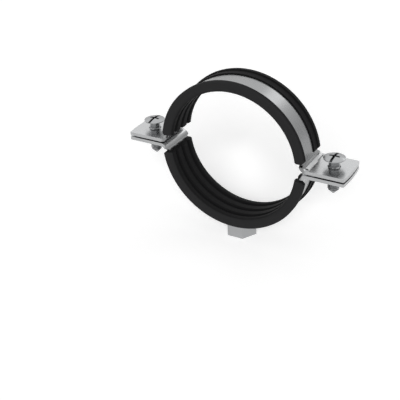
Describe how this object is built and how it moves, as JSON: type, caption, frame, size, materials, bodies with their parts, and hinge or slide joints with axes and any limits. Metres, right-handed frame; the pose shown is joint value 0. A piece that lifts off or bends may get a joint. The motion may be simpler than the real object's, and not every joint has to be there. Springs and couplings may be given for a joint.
{
  "type": "rubber lined pipe clamp",
  "caption": "Two-piece rubber lined steel pipe clamp with flanged ears, ear screws, a hooked side and a threaded connection nut underneath.",
  "frame": {"origin": "centre of the bore at mid-width, on the parting plane between the ears", "axes": "+Y along the pipe, +X across the ears towards the hooked side, +Z away from the connection nut"},
  "size_m": [0.104, 0.0184, 0.0757],
  "materials": {
    "zinc_sheet": "bright zinc plated sheet, slightly streaked",
    "black_rubber": "matt black extruded rubber",
    "zinc_nut": "bright zinc plated nut",
    "zinc_screw": "bright zinc plated screw"
  },
  "bodies": {
    "lower_half": {"lower_band": "zinc_sheet", "lower_liner": "black_rubber", "connection_nut": "zinc_nut"},
    "upper_half": {"upper_band": "zinc_sheet", "upper_liner": "black_rubber"},
    "left_screw_body": {"left_screw": "zinc_screw"},
    "right_screw_body": {"right_screw": "zinc_screw"}
  },
  "joints": [
    {"name": "upper_half_lift", "type": "slide", "parent": "lower_half", "child": "upper_half", "axis": [0, 0, 1], "range_m": [-0.0006, 0.00345]},
    {"name": "left_screw_turn", "type": "hinge", "parent": "lower_half", "child": "left_screw_body", "pos_m": [-0.04375, 0, 0], "axis": [0, 0, 1], "continuous": true},
    {"name": "right_screw_turn", "type": "hinge", "parent": "lower_half", "child": "right_screw_body", "pos_m": [0.04375, 0, 0], "axis": [0, 0, 1], "continuous": true}
  ]
}
